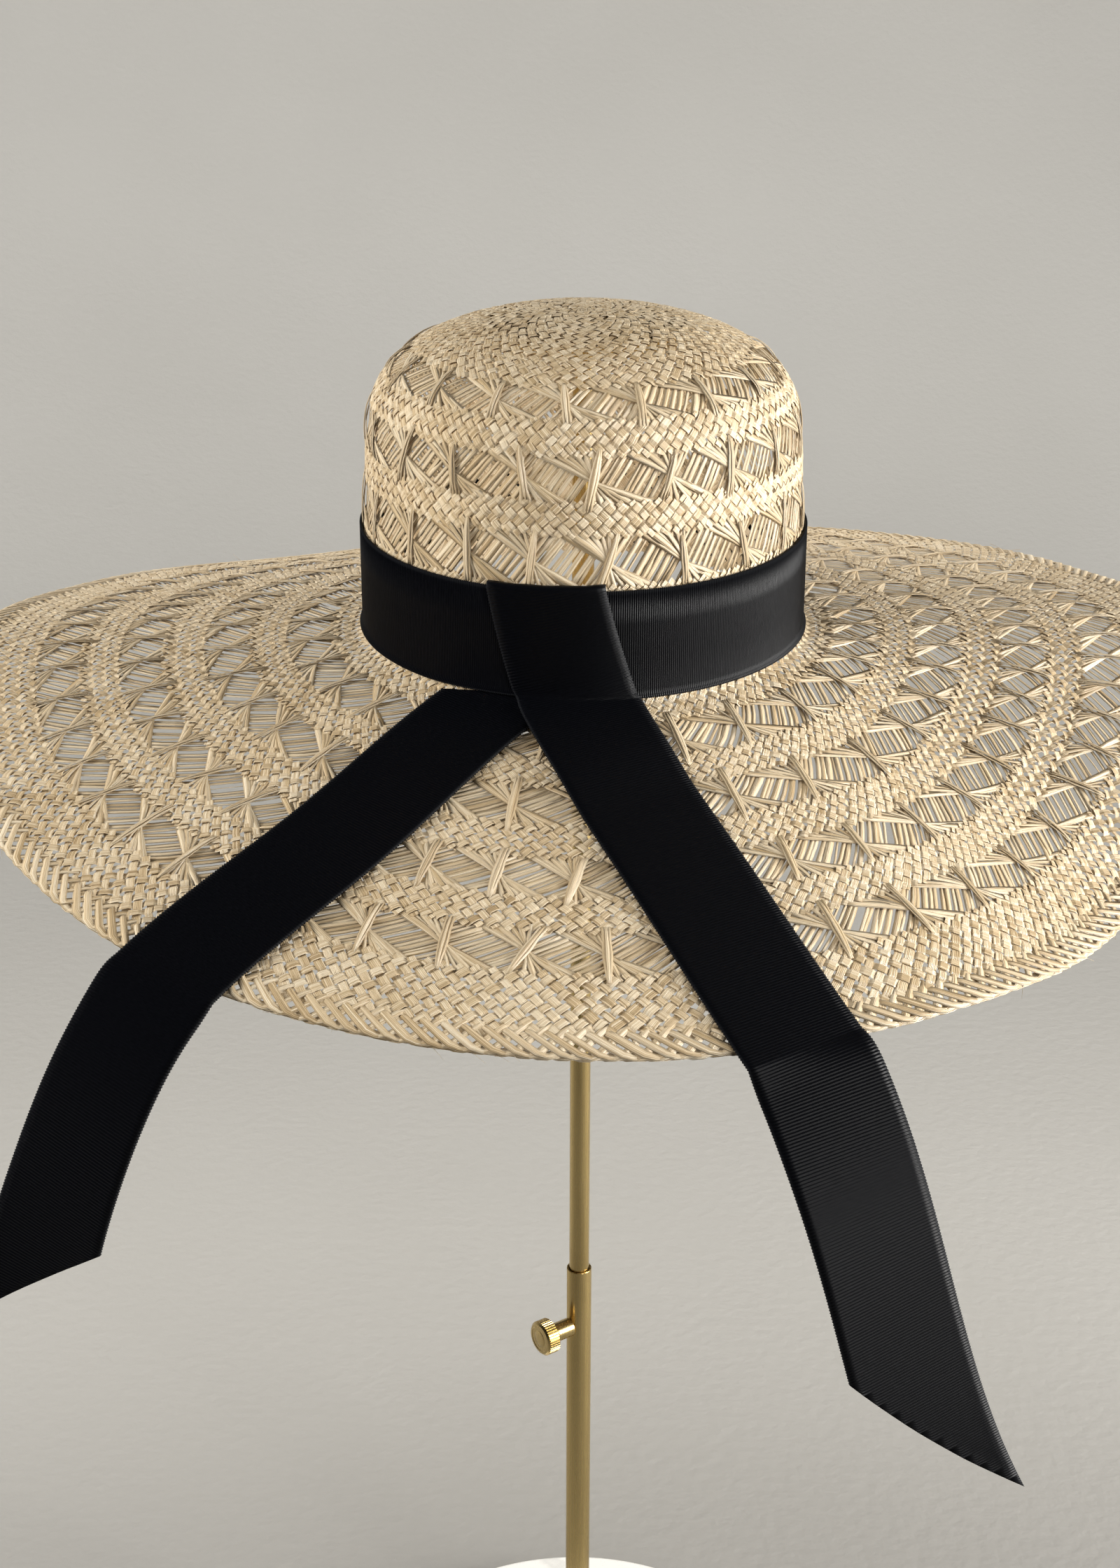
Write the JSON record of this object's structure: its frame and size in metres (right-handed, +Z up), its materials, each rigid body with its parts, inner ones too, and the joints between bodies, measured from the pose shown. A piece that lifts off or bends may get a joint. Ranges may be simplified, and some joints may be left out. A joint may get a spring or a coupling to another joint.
{
  "type": "straw boater hat on stand",
  "caption": "Wide-brimmed openwork straw hat with a deep crown, dark ribbon band and hanging ribbon tails, on a slim telescopic stand with a round base.",
  "frame": {"origin": "centre of the stand base's underside, on the surface it stands on", "axes": "+Z up along the mast; the hat's front, where the ribbon tails hang, faces -Y; +X is to the right in the picture"},
  "size_m": [0.4847, 0.524, 0.6792],
  "materials": {
    "straw": "woven natural straw, satin",
    "ribbon": "ribbed grosgrain, dull sheen",
    "brass": "polished, slightly aged",
    "base": "honed white stone"
  },
  "bodies": {
    "root": {"crown": "straw", "brim": "straw", "hatband": "ribbon", "tail_right": "ribbon", "tail_left": "ribbon", "stand_base": "base", "stand_sleeve": "brass", "stand_mast": "brass", "stand_head": "brass", "stand_screw": "brass"}
  },
  "joints": []
}
